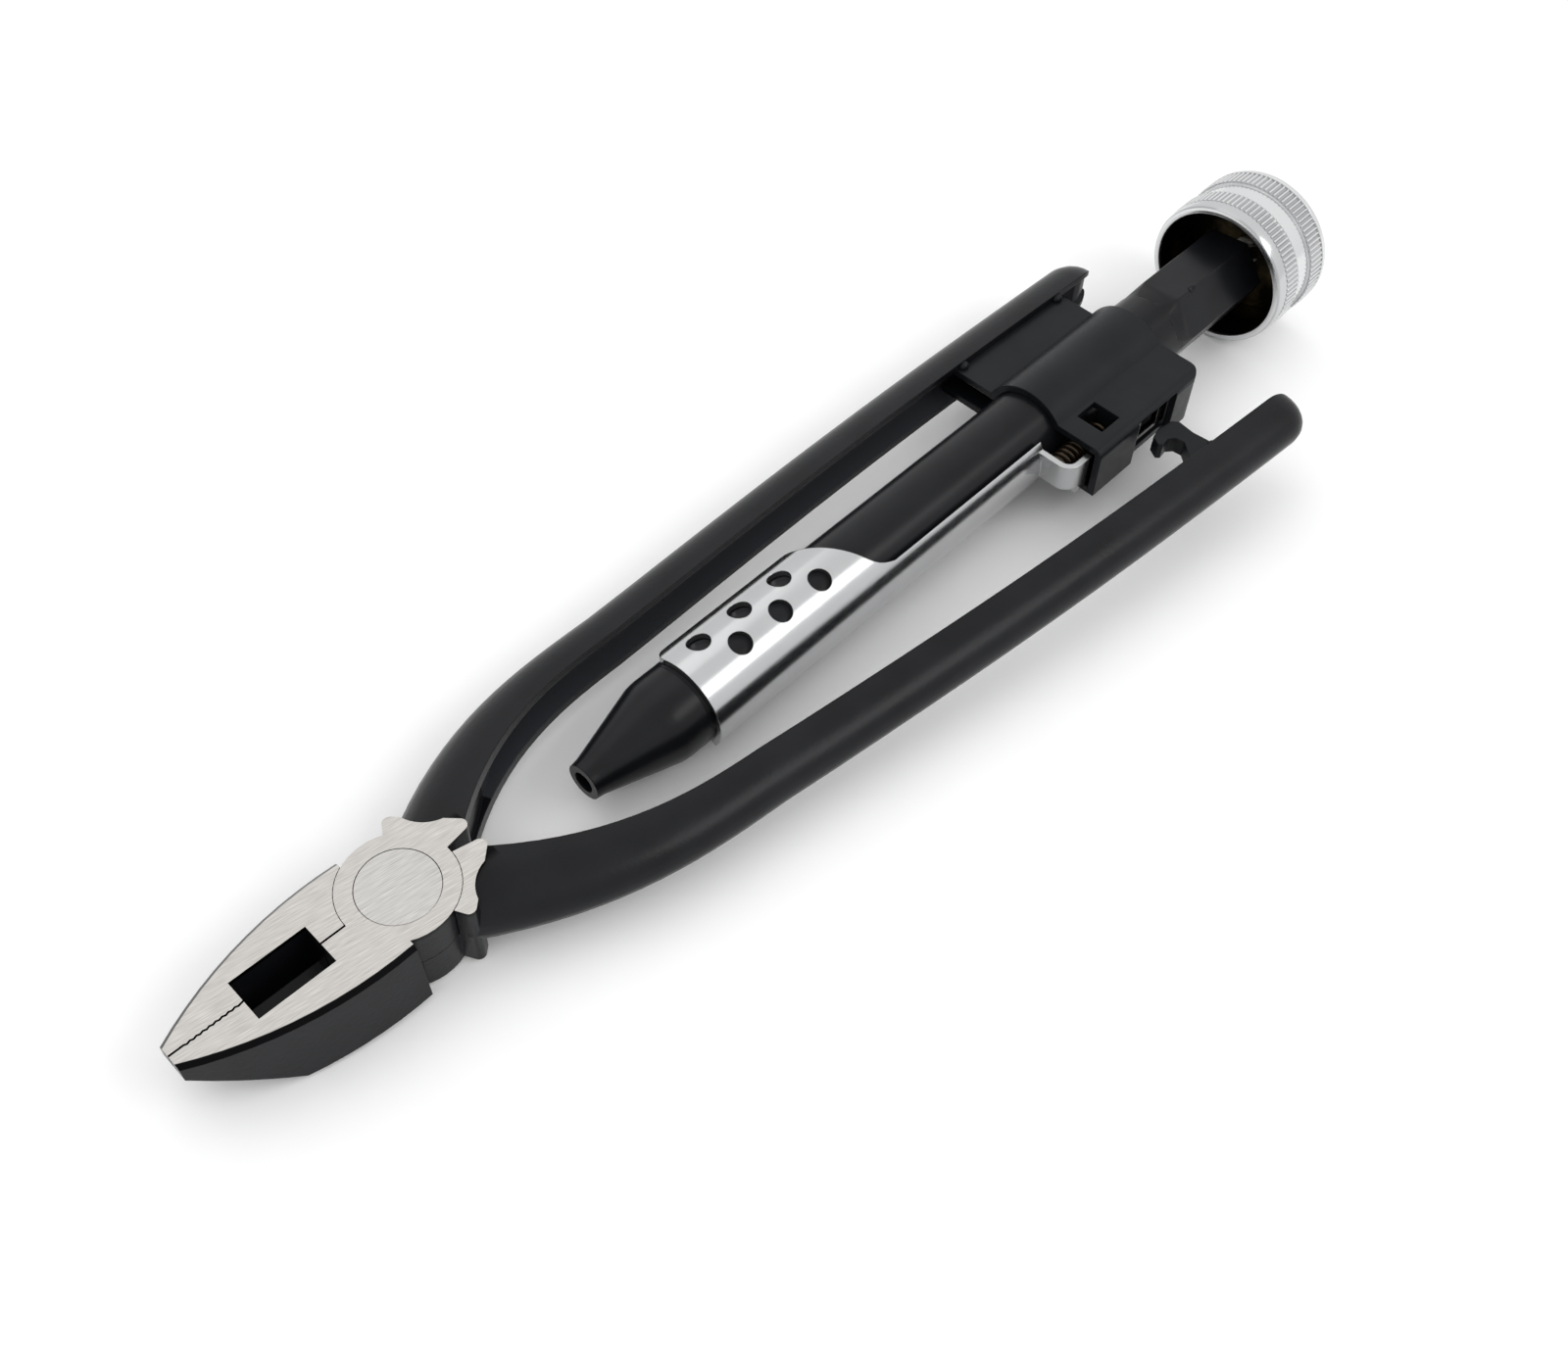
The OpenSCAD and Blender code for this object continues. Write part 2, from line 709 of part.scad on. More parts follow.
module knob_washer() {
    color("gray") at_barrel() difference() {
        rod_x(knob_end - screw_recess + seat_gap, washer_t, screw_head_d / 2 + 0.6);
        rod_x(knob_end - screw_recess - 1, 3, screw_r + 0.2);
    }
}

module knob_screw() {
    head_x = knob_end - screw_recess + washer_t + 2 * seat_gap;
    shank_x = knob_end - screw_recess - screw_l;
    head_l = 1.4;
    slot_w = 1;
    color("silver") at_barrel() difference() {
        union() {
            rod_x(head_x, head_l, screw_head_d / 2);
            rod_x(shank_x, head_x - shank_x + eps, screw_r);
        }
        translate([head_x + head_l / 2, -screw_head_d, -slot_w / 2])
            cube([head_l, 2 * screw_head_d, slot_w]);
    }
}

// Lock slider: a wrap round the barrel, an arm along it, and a tail in the lock box
function sweep_x(t) = slider_x + grip_l + 9 * t + 2.7 * pow(t, 24);

module arm_cutout() {
    far = hook_leg_x + 20;
    top = wrap_out_r * cos(wrap_from) + 1;
    steps = 16;
    linear_extrude(2 * wrap_out_r) polygon(concat(
        [for (i = [0 : steps]) let (t = 1 - pow(1 - i / steps, 2)) [sweep_x(t), top + (arm_y - top) * t]],
        [[far, arm_y], [far, 2 * top], [sweep_x(0), 2 * top]]
    ));
}

module wrap_profile() {
    reach = 3 * wrap_out_r;
    difference() {
        circle(wrap_out_r, $fn = 120);
        circle(wrap_r, $fn = 120);
        polygon([[0, 0], polar([reach, wrap_to]), polar([reach, (wrap_to + wrap_from + 360) / 2]),
            polar([reach, wrap_from + 360])]);
    }
}

module tail_windows() {
    front = slot_from - 0.4;
    z = hook_mid - hook_t / 2 - hook_clear;
    h = hook_t + 2 * hook_clear;
    translate([front, -tail_y - 1, z]) cube([catch_x - catch_w / 2 - front, 3, h]);
    translate([catch_x + catch_w / 2, -tail_y - 1, z])
        cube([slot_from + slot_l - 2 - catch_x - catch_w / 2, 3, h]);
}

// The leg goes out from the arm and bends back along the tail
module leg_plan() {
    translate([hook_leg_x, leg_bend - tail_y]) square([slider_t, tail_y - leg_bend - wrap_r]);
    translate([hook_leg_x + leg_bend, leg_bend - tail_y]) intersection() {
        difference() {
            circle(leg_bend);
            circle(leg_bend - slider_t);
        }
        translate([-leg_bend, -leg_bend]) square([leg_bend + eps, leg_bend + eps]);
    }
}

// What a rounding takes off the front corner at the wrap's open edge
module wrap_corner_cut() {
    r = 3;
    edge = wrap_out_r * cos(wrap_from);
    translate([slider_x + r, edge - r, 0]) linear_extrude(2 * wrap_out_r) difference() {
        translate([-r - 1, 0]) square(r + 1);
        circle(r);
    }
}

module lock_slider() {
    color("gainsboro") at_barrel() {
        difference() {
            along_x(slider_x, hook_leg_x + slider_t - slider_x) wrap_profile();
            arm_cutout();
            wrap_corner_cut();
            for (row = [0, 1])
                for (i = [0 : 2])
                    translate([slider_x + 5.3 + row * grip_pitch / 2 + i * grip_pitch, 0, 0])
                        rotate([-15.5 + row * 32.5, 0, 0]) cylinder(h = 2 * wrap_out_r, d = grip_hole_d);
        }
        translate([0, 0, tail_mid + tail_h / 2 - leg_h]) linear_extrude(leg_h) leg_plan();
        difference() {
            translate([hook_leg_x + leg_bend, -tail_y, tail_mid - tail_h / 2])
                cube([tail_end - hook_leg_x - leg_bend, slider_t, tail_h]);
            tail_windows();
        }
    }
}

// Lock spring: an open coil, one closed tube swept along its helix
module lock_spring() {
    sides = 6;
    per_turn = 12;
    rings = coil_turns * per_turn;
    run = coil_to - coil_from - wire_d;
    color("saddlebrown") at_barrel() translate([coil_from + wire_d / 2, coil_y, coil_z]) polyhedron(
        points = [
            for (i = [0 : rings]) for (k = [0 : sides - 1])
                let (a = 360 * i / per_turn, b = 360 * k / sides, r = coil_d / 2 + wire_d / 2 * cos(b))
                [run * i / rings + wire_d / 2 * sin(b), r * cos(a), r * sin(a)]
        ],
        faces = concat(
            [[for (k = [0 : sides - 1]) k]],
            [for (i = [0 : rings - 1]) for (k = [0 : sides - 1])
                let (a = i * sides + k, b = i * sides + (k + 1) % sides)
                each [[a, b + sides, b], [a, a + sides, b + sides]]],
            [[for (k = [0 : sides - 1]) rings * sides + sides - 1 - k]]
        )
    );
}

// Hook plate: it stands in the moving handle's channel, with its nose pointing to the jaws
hook_x = catch_x - catch_w / 2 + 0.1;
hook_mouth = catch_w + 1;
hook_stem = 3.2;
hook_inner = box_reach + 1.3 - barrel_y;

module hook_plan() {
    x1 = hook_x + hook_mouth;
    x2 = x1 + hook_stem;
    lip = edge_y(moving_path, x1);
    base = lip + channel_d - 0.6;
    polygon([
        [x1 - 3, base], [x1 - 3, lip - 0.4], [x1 - 1, hook_inner + 6], [x1, hook_inner + 4.8],
        [x1 - 0.2, hook_inner + 3.3], [x1 - 1.2, hook_inner + 2.5], [hook_x + 0.5, hook_inner + 2.7],
        [hook_x, hook_inner + 2.1], [hook_x + 0.9, hook_inner + 0.5], [x1 - 0.6, hook_inner],
        [x2 - 0.8, hook_inner + 0.5], [x2, hook_inner + 1.5], [x2 - 0.4, hook_inner + 4.5],
        [x2, lip - 0.4], [x2 + 1.5, lip + 0.4], [x2 + 1.5, base]
    ]);
}

module hook_plate() {
    color("#2b2d30") mirror([0, 1, 0]) translate([0, 0, barrel_z + hook_mid - hook_t / 2])
        linear_extrude(hook_t) hook_plan();
}

module hook_weld_beads() {
    x = hook_x + hook_mouth + hook_stem / 2;
    r = (channel_h - hook_t) / 4 + 0.3;
    color("#222326") for (side = [-1, 1])
        translate([x, -edge_y(moving_path, x), barrel_z + side * (channel_h + hook_t) / 4])
            sphere(r, $fn = 32);
}

handle_jaw_fixed();
handle_jaw_moving();
pivot_rivet();
bracket_top_shell();
bracket_bottom_shell();
bracket_weld_beads();
barrel_tube();
barrel_nose();
twist_nut();
nut_front_ring();
barrel_end_bush();
rod_guide_collar();
spiral_rod();
collar_clip();
knob();
knob_washer();
knob_screw();
lock_slider();
lock_spring();
hook_plate();
hook_weld_beads();
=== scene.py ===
import math

import bmesh
import bpy
from mathutils import Matrix, Vector


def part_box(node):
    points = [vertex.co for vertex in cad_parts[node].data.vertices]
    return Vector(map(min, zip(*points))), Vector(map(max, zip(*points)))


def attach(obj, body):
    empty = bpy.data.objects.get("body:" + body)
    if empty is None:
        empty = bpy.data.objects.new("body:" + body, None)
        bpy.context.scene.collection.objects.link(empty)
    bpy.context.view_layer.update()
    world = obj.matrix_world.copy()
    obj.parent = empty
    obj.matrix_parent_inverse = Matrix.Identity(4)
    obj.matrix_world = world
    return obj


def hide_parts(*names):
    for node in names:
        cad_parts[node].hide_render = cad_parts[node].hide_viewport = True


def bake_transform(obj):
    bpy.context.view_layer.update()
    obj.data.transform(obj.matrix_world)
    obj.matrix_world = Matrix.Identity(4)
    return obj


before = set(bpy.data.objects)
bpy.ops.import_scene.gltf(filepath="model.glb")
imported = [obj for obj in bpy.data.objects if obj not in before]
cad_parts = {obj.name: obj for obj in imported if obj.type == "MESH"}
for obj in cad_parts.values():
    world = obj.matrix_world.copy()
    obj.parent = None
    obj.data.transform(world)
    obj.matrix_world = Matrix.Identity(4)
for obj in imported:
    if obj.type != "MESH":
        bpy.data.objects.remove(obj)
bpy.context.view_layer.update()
scene = bpy.context.scene
scene.view_settings.view_transform = "Standard"

# Camera: where the photograph was taken from, over the nose of the tool and to one side,
# with the frame rolled a little.
camera_distance = 0.253609
azimuth = math.radians(-138.518)
elevation = math.radians(52.887)
roll = math.radians(2.543)
target = Vector((0.062332, -0.008494, 0.005))
back = Vector((math.cos(elevation) * math.cos(azimuth),
               math.cos(elevation) * math.sin(azimuth),
               math.sin(elevation)))
right = Vector((-math.sin(azimuth), math.cos(azimuth), 0))
up = back.cross(right)
turned_right = right * math.cos(roll) + up * math.sin(roll)
turned_up = up * math.cos(roll) - right * math.sin(roll)
camera_data = bpy.data.cameras.new("camera")
camera_data.sensor_fit = "HORIZONTAL"
camera_data.sensor_width = 36
camera_data.lens = 40.5
camera_data.clip_start = 0.005
camera = bpy.data.objects.new("camera", camera_data)
scene.collection.objects.link(camera)
camera_place = Matrix((turned_right, turned_up, back)).transposed().to_4x4()
camera_place.translation = target + back * camera_distance
camera.matrix_world = camera_place
scene.camera = camera

# Floor: a plain white table top. The tool lies on its head and its knob,
# so the table is tilted in the tool's own frame.
knob_drop = 0.0080
head_to_knob = 0.2025
head_rest_x = -0.0206
floor_gap = 0.00005
floor_half = 1.5
floor_slope = math.atan2(knob_drop, head_to_knob)
floor_mesh = bpy.data.meshes.new("floor")
floor_corners = [(-floor_half, -floor_half, 0), (floor_half, -floor_half, 0),
                 (floor_half, floor_half, 0), (-floor_half, floor_half, 0)]
floor_mesh.from_pydata(floor_corners, [], [(0, 1, 2, 3)])
floor = bpy.data.objects.new("floor", floor_mesh)
scene.collection.objects.link(floor)
floor_place = Matrix.Translation((head_rest_x, 0, -floor_gap))
floor.matrix_world = floor_place @ Matrix.Rotation(floor_slope, 4, "Y")
floor_look = bpy.data.materials.new("white table")
floor_look.use_nodes = True
floor_nodes = floor_look.node_tree.nodes
floor_shader = floor_nodes["Principled BSDF"]
floor_grain = floor_nodes.new("ShaderNodeTexNoise")
floor_grain.inputs["Scale"].default_value = 300
floor_tone = floor_nodes.new("ShaderNodeMapRange")
floor_tone.inputs["To Min"].default_value = 0.94
floor_tone.inputs["To Max"].default_value = 0.97
floor_look.node_tree.links.new(floor_grain.outputs["Fac"], floor_tone.inputs["Value"])
floor_look.node_tree.links.new(floor_tone.outputs["Result"], floor_shader.inputs["Base Color"])
floor_shader.inputs["Roughness"].default_value = 0.7
floor_shader.inputs["Specular IOR Level"].default_value = 0.2
floor_mesh.materials.append(floor_look)

# Light: a white surround that is a little dimmer near the table's edge, one large soft lamp
# overhead behind the tool and a second one beside it.
world = bpy.data.worlds.new("studio")
scene.world = world
world.use_nodes = True
sky = world.node_tree.nodes
sky_links = world.node_tree.links
sky_place = sky.new("ShaderNodeTexCoord")
sky_axis = sky.new("ShaderNodeSeparateXYZ")
sky_ramp = sky.new("ShaderNodeValToRGB")
sky_ramp.color_ramp.elements[0].position = 0.0
sky_ramp.color_ramp.elements[0].color = (0.96, 0.965, 0.97, 1)
sky_ramp.color_ramp.elements[1].position = 0.6
sky_ramp.color_ramp.elements[1].color = (1.03, 1.03, 1.03, 1)
sky_links.new(sky_place.outputs["Generated"], sky_axis.inputs["Vector"])
sky_links.new(sky_axis.outputs["Z"], sky_ramp.inputs["Fac"])
sky_links.new(sky_ramp.outputs["Color"], sky["Background"].inputs["Color"])
sky["Background"].inputs["Strength"].default_value = 1.0

key_data = bpy.data.lights.new("key", "AREA")
key_data.shape = "RECTANGLE"
key_data.size = 0.8
key_data.size_y = 0.6
key_data.energy = 0.65
key = bpy.data.objects.new("key", key_data)
scene.collection.objects.link(key)
key.location = (0.166, 0.4575, 0.825)
key.rotation_euler = (target - Vector(key.location)).to_track_quat("-Z", "Y").to_euler()

fill_data = bpy.data.lights.new("fill", "AREA")
fill_data.shape = "RECTANGLE"
fill_data.size = 0.5
fill_data.size_y = 0.28
fill_data.energy = 1.2
fill = bpy.data.objects.new("fill", fill_data)
scene.collection.objects.link(fill)
fill.location = (0.35, -0.55, 0.6)
fill.rotation_euler = (target - Vector(fill.location)).to_track_quat("-Z", "Y").to_euler()

# Brushed lines: an effect that several finishes share. Fine parallel lines, as left by grinding
# or brushing, and slow clouds of unevenness.
brushed = bpy.data.node_groups.new("brushed lines", "ShaderNodeTree")
brushed.interface.new_socket("Stretch", in_out="INPUT", socket_type="NodeSocketVector")
brushed.interface.new_socket("Turn", in_out="INPUT", socket_type="NodeSocketFloat")
brushed.interface.new_socket("Lines", in_out="OUTPUT", socket_type="NodeSocketFloat")
brushed.interface.new_socket("Clouds", in_out="OUTPUT", socket_type="NodeSocketFloat")
brushed_in = brushed.nodes.new("NodeGroupInput")
brushed_out = brushed.nodes.new("NodeGroupOutput")
brushed_place = brushed.nodes.new("ShaderNodeTexCoord")
brushed_turn = brushed.nodes.new("ShaderNodeVectorRotate")
brushed_turn.rotation_type = "Z_AXIS"
brushed_map = brushed.nodes.new("ShaderNodeVectorMath")
brushed_map.operation = "MULTIPLY"
brushed_lines = brushed.nodes.new("ShaderNodeTexNoise")
brushed_lines.inputs["Scale"].default_value = 1.0
brushed_lines.inputs["Detail"].default_value = 3.0
brushed_clouds = brushed.nodes.new("ShaderNodeTexNoise")
brushed_clouds.inputs["Scale"].default_value = 120.0
brushed_clouds.inputs["Detail"].default_value = 4.0
brushed.links.new(brushed_place.outputs["Object"], brushed_turn.inputs["Vector"])
brushed.links.new(brushed_in.outputs["Turn"], brushed_turn.inputs["Angle"])
brushed.links.new(brushed_turn.outputs["Vector"], brushed_map.inputs[0])
brushed.links.new(brushed_in.outputs["Stretch"], brushed_map.inputs[1])
brushed.links.new(brushed_map.outputs["Vector"], brushed_lines.inputs["Vector"])
brushed.links.new(brushed_place.outputs["Object"], brushed_clouds.inputs["Vector"])
brushed.links.new(brushed_lines.outputs["Fac"], brushed_out.inputs["Lines"])
brushed.links.new(brushed_clouds.outputs["Fac"], brushed_out.inputs["Clouds"])


# Forged halves: drop-forged steel, each with a jaw, a lapped disc and a channelled handle. They are
# painted satin black, and the head's two faces are ground bright after riveting. The paint in the
# channels is set a little lighter, as a painted sheen in their shade.
def refined_copy(name):
    same_point = 2e-6
    crease = math.radians(28)
    open_edge = 3.2
    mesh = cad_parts[name].data.copy()
    mesh.materials.clear()
    obj = bpy.data.objects.new(name + "_look", mesh)
    scene.collection.objects.link(obj)
    work = bmesh.new()
    work.from_mesh(mesh)
    bmesh.ops.remove_doubles(work, verts=work.verts, dist=same_point)
    for face in work.faces:
        face.smooth = True
    for edge in work.edges:
        edge.smooth = len(edge.link_faces) == 2 and edge.calc_face_angle(open_edge) < crease
    work.to_mesh(mesh)
    work.free()
    return obj


# Marks the channel faces that get the painted sheen.
def mark_channel_sheen(half, outer_side):
    channel_from = 0.02
    channel_middle = 0.006
    channel_half = 0.00325
    bend_from = 0.016
    bend_run = 0.045
    bend_drop = 0.001
    outward = 0.3
    work = bmesh.new()
    work.from_mesh(half.data)
    mark = work.faces.layers.float.new("channel")
    for face in work.faces:
        spot = face.calc_center_median()
        bend = min(1, max(0, (spot.x - bend_from) / bend_run))
        inside = abs(spot.z - channel_middle + bend_drop * bend) < channel_half
        face[mark] = float(spot.x > channel_from and inside and face.normal.y * outer_side < outward)
    work.to_mesh(half.data)
    work.free()


grind_stretch = (300, 6500, 6500)
grind_turn = math.radians(9)
top_painted, top_ground = 0.01194, 0.01198
under_painted, under_ground = 0.00006, 0.00002
shoulder_from, head_until = 0.0126, 0.0124
bevel_from, bevel_full = 0.01122, 0.01132
forged = bpy.data.materials.new("black paint and ground steel")
forged.use_nodes = True
forged_nodes = forged.node_tree.nodes
forged_links = forged.node_tree.links
forged_shader = forged_nodes["Principled BSDF"]
forged_place = forged_nodes.new("ShaderNodeTexCoord")
forged_axis = forged_nodes.new("ShaderNodeSeparateXYZ")
forged_links.new(forged_place.outputs["Object"], forged_axis.inputs["Vector"])
forged_top = forged_nodes.new("ShaderNodeMapRange")
forged_top.inputs["From Min"].default_value = top_painted
forged_top.inputs["From Max"].default_value = top_ground
forged_links.new(forged_axis.outputs["Z"], forged_top.inputs["Value"])
forged_under = forged_nodes.new("ShaderNodeMapRange")
forged_under.inputs["From Min"].default_value = under_painted
forged_under.inputs["From Max"].default_value = under_ground
forged_links.new(forged_axis.outputs["Z"], forged_under.inputs["Value"])
forged_head = forged_nodes.new("ShaderNodeMapRange")
forged_head.inputs["From Min"].default_value = shoulder_from
forged_head.inputs["From Max"].default_value = head_until
forged_links.new(forged_axis.outputs["X"], forged_head.inputs["Value"])
forged_low = forged_nodes.new("ShaderNodeMath")
forged_low.operation = "MULTIPLY"
forged_links.new(forged_under.outputs["Result"], forged_low.inputs[0])
forged_links.new(forged_head.outputs["Result"], forged_low.inputs[1])
forged_ground = forged_nodes.new("ShaderNodeMath")
forged_ground.operation = "MAXIMUM"
forged_links.new(forged_top.outputs["Result"], forged_ground.inputs[0])
forged_links.new(forged_low.outputs["Value"], forged_ground.inputs[1])
forged_brush = forged_nodes.new("ShaderNodeGroup")
forged_brush.node_tree = brushed
forged_brush.inputs["Stretch"].default_value = grind_stretch
forged_brush.inputs["Turn"].default_value = grind_turn
forged_steel = forged_nodes.new("ShaderNodeValToRGB")
forged_steel.color_ramp.elements[0].position = 0.3
forged_steel.color_ramp.elements[0].color = (0.363, 0.350, 0.332, 1)
forged_steel.color_ramp.elements[1].position = 0.72
forged_steel.color_ramp.elements[1].color = (0.539, 0.520, 0.497, 1)
forged_links.new(forged_brush.outputs["Lines"], forged_steel.inputs["Fac"])
forged_paint = forged_nodes.new("ShaderNodeValToRGB")
forged_paint.color_ramp.elements[0].position = 0.3
forged_paint.color_ramp.elements[0].color = (0.0035, 0.0038, 0.0048, 1)
forged_paint.color_ramp.elements[1].position = 0.75
forged_paint.color_ramp.elements[1].color = (0.0075, 0.008, 0.010, 1)
forged_links.new(forged_brush.outputs["Clouds"], forged_paint.inputs["Fac"])
# The bevel round the jaws' top is set nearly black.
forged_rim = forged_nodes.new("ShaderNodeMapRange")
forged_rim.inputs["From Min"].default_value = bevel_from
forged_rim.inputs["From Max"].default_value = bevel_full
forged_links.new(forged_axis.outputs["Z"], forged_rim.inputs["Value"])
forged_chamfer = forged_nodes.new("ShaderNodeMath")
forged_chamfer.operation = "MULTIPLY"
forged_links.new(forged_rim.outputs["Result"], forged_chamfer.inputs[0])
forged_links.new(forged_head.outputs["Result"], forged_chamfer.inputs[1])
forged_black = forged_nodes.new("ShaderNodeMix")
forged_black.data_type = "RGBA"
forged_black.inputs["B"].default_value = (0.006, 0.006, 0.0065, 1)
forged_links.new(forged_chamfer.outputs["Value"], forged_black.inputs["Factor"])
forged_links.new(forged_paint.outputs["Color"], forged_black.inputs["A"])
# The channels, marked on the mesh, get a lighter paint colour: a painted sheen.
forged_sheen_mark = forged_nodes.new("ShaderNodeAttribute")
forged_sheen_mark.attribute_name = "channel"
forged_channel_sheen = forged_nodes.new("ShaderNodeMix")
forged_channel_sheen.data_type = "RGBA"
forged_channel_sheen.inputs["B"].default_value = (0.036, 0.038, 0.043, 1)
forged_links.new(forged_sheen_mark.outputs["Fac"], forged_channel_sheen.inputs["Factor"])
forged_links.new(forged_black.outputs["Result"], forged_channel_sheen.inputs["A"])
forged_colour = forged_nodes.new("ShaderNodeMix")
forged_colour.data_type = "RGBA"
forged_links.new(forged_ground.outputs["Value"], forged_colour.inputs["Factor"])
forged_links.new(forged_channel_sheen.outputs["Result"], forged_colour.inputs["A"])
forged_links.new(forged_steel.outputs["Color"], forged_colour.inputs["B"])
forged_links.new(forged_colour.outputs["Result"], forged_shader.inputs["Base Color"])
forged_metal = forged_nodes.new("ShaderNodeMath")
forged_metal.operation = "MAXIMUM"
forged_links.new(forged_ground.outputs["Value"], forged_metal.inputs[0])
forged_links.new(forged_chamfer.outputs["Value"], forged_metal.inputs[1])
forged_links.new(forged_metal.outputs["Value"], forged_shader.inputs["Metallic"])
forged_shader.inputs["Specular IOR Level"].default_value = 0.2
forged_rough = forged_nodes.new("ShaderNodeMapRange")
forged_rough.inputs["To Min"].default_value = 0.24
forged_rough.inputs["To Max"].default_value = 0.34
forged_links.new(forged_brush.outputs["Clouds"], forged_rough.inputs["Value"])
forged_links.new(forged_rough.outputs["Result"], forged_shader.inputs["Roughness"])
forged_bevel = forged_nodes.new("ShaderNodeBevel")
forged_bevel.samples = 4
forged_bevel.inputs["Radius"].default_value = 0.00022
# The ground faces keep crisp edges, and the paint has a fine skin.
forged_flat = forged_nodes.new("ShaderNodeNewGeometry")
forged_normal = forged_nodes.new("ShaderNodeMix")
forged_normal.data_type = "VECTOR"
forged_links.new(forged_ground.outputs["Value"], forged_normal.inputs["Factor"])
forged_links.new(forged_bevel.outputs["Normal"], forged_normal.inputs["A"])
forged_links.new(forged_flat.outputs["Normal"], forged_normal.inputs["B"])
forged_bump = forged_nodes.new("ShaderNodeBump")
forged_bump.inputs["Strength"].default_value = 0.12
forged_bump.inputs["Distance"].default_value = 0.00005
forged_links.new(forged_brush.outputs["Clouds"], forged_bump.inputs["Height"])
forged_links.new(forged_normal.outputs["Result"], forged_bump.inputs["Normal"])
forged_paint_grain = forged_nodes.new("ShaderNodeTexNoise")
forged_paint_grain.inputs["Scale"].default_value = 1500
forged_paint_grain.inputs["Detail"].default_value = 1
forged_links.new(forged_place.outputs["Object"], forged_paint_grain.inputs["Vector"])
forged_painted = forged_nodes.new("ShaderNodeMath")
forged_painted.operation = "SUBTRACT"
forged_painted.inputs[0].default_value = 1
forged_links.new(forged_ground.outputs["Value"], forged_painted.inputs[1])
forged_relief = forged_nodes.new("ShaderNodeMath")
forged_relief.operation = "MULTIPLY"
forged_links.new(forged_paint_grain.outputs["Fac"], forged_relief.inputs[0])
forged_links.new(forged_painted.outputs["Value"], forged_relief.inputs[1])
forged_skin = forged_nodes.new("ShaderNodeBump")
forged_skin.inputs["Strength"].default_value = 0.3
forged_skin.inputs["Distance"].default_value = 0.00006
forged_links.new(forged_relief.outputs["Value"], forged_skin.inputs["Height"])
forged_links.new(forged_bump.outputs["Normal"], forged_skin.inputs["Normal"])
forged_links.new(forged_skin.outputs["Normal"], forged_shader.inputs["Normal"])
fixed_half = refined_copy("handle_jaw_fixed")
mark_channel_sheen(fixed_half, 1)
fixed_half.data.materials.append(forged)
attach(fixed_half, "frame")
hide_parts("handle_jaw_fixed")
moving_half = refined_copy("handle_jaw_moving")
mark_channel_sheen(moving_half, -1)
moving_half.data.materials.append(forged)
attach(moving_half, "moving_handle")
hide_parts("handle_jaw_moving")

# Pivot rivet: a steel pin through both discs, closed and then ground flush with the head,
# so its face carries the same lines, a little brighter.
rivet_look = bpy.data.materials.new("ground rivet")
rivet_look.use_nodes = True
rivet_nodes = rivet_look.node_tree.nodes
rivet_links = rivet_look.node_tree.links
rivet_shader = rivet_nodes["Principled BSDF"]
rivet_brush = rivet_nodes.new("ShaderNodeGroup")
rivet_brush.node_tree = brushed
rivet_brush.inputs["Stretch"].default_value = grind_stretch
rivet_brush.inputs["Turn"].default_value = grind_turn
rivet_tone = rivet_nodes.new("ShaderNodeValToRGB")
rivet_tone.color_ramp.elements[0].position = 0.3
rivet_tone.color_ramp.elements[0].color = (0.378, 0.367, 0.352, 1)
rivet_tone.color_ramp.elements[1].position = 0.72
rivet_tone.color_ramp.elements[1].color = (0.560, 0.548, 0.530, 1)
rivet_links.new(rivet_brush.outputs["Lines"], rivet_tone.inputs["Fac"])
rivet_links.new(rivet_tone.outputs["Color"], rivet_shader.inputs["Base Color"])
rivet_shader.inputs["Metallic"].default_value = 1.0
rivet_rough = rivet_nodes.new("ShaderNodeMapRange")
rivet_rough.inputs["To Min"].default_value = 0.30
rivet_rough.inputs["To Max"].default_value = 0.42
rivet_links.new(rivet_brush.outputs["Clouds"], rivet_rough.inputs["Value"])
rivet_links.new(rivet_rough.outputs["Result"], rivet_shader.inputs["Roughness"])
rivet = refined_copy("pivot_rivet")
rivet.data.materials.append(rivet_look)
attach(rivet, "frame")
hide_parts("pivot_rivet")

# Bracket and hook plate: pressed sheet steel in a charcoal satin finish, with softened bends and edges.
# Weld tacks of the same finish hold the bracket to one handle and the hook to the other.
sheet_look = bpy.data.materials.new("charcoal sheet")
sheet_look.use_nodes = True
sheet_nodes = sheet_look.node_tree.nodes
sheet_links = sheet_look.node_tree.links
sheet_shader = sheet_nodes["Principled BSDF"]
sheet_brush = sheet_nodes.new("ShaderNodeGroup")
sheet_brush.node_tree = brushed
sheet_brush.inputs["Stretch"].default_value = (900, 900, 900)
sheet_tone = sheet_nodes.new("ShaderNodeValToRGB")
sheet_tone.color_ramp.elements[0].position = 0.3
sheet_tone.color_ramp.elements[0].color = (0.0045, 0.0053, 0.0066, 1)
sheet_tone.color_ramp.elements[1].position = 0.75
sheet_tone.color_ramp.elements[1].color = (0.0085, 0.010, 0.0122, 1)
sheet_links.new(sheet_brush.outputs["Clouds"], sheet_tone.inputs["Fac"])
sheet_links.new(sheet_tone.outputs["Color"], sheet_shader.inputs["Base Color"])
sheet_shader.inputs["Specular IOR Level"].default_value = 0.18
sheet_rough = sheet_nodes.new("ShaderNodeMapRange")
sheet_rough.inputs["To Min"].default_value = 0.28
sheet_rough.inputs["To Max"].default_value = 0.40
sheet_links.new(sheet_brush.outputs["Lines"], sheet_rough.inputs["Value"])
sheet_links.new(sheet_rough.outputs["Result"], sheet_shader.inputs["Roughness"])
sheet_bevel = sheet_nodes.new("ShaderNodeBevel")
sheet_bevel.samples = 4
sheet_bevel.inputs["Radius"].default_value = 0.0003
sheet_bump = sheet_nodes.new("ShaderNodeBump")
sheet_bump.inputs["Strength"].default_value = 0.1
sheet_bump.inputs["Distance"].default_value = 0.00004
sheet_links.new(sheet_brush.outputs["Lines"], sheet_bump.inputs["Height"])
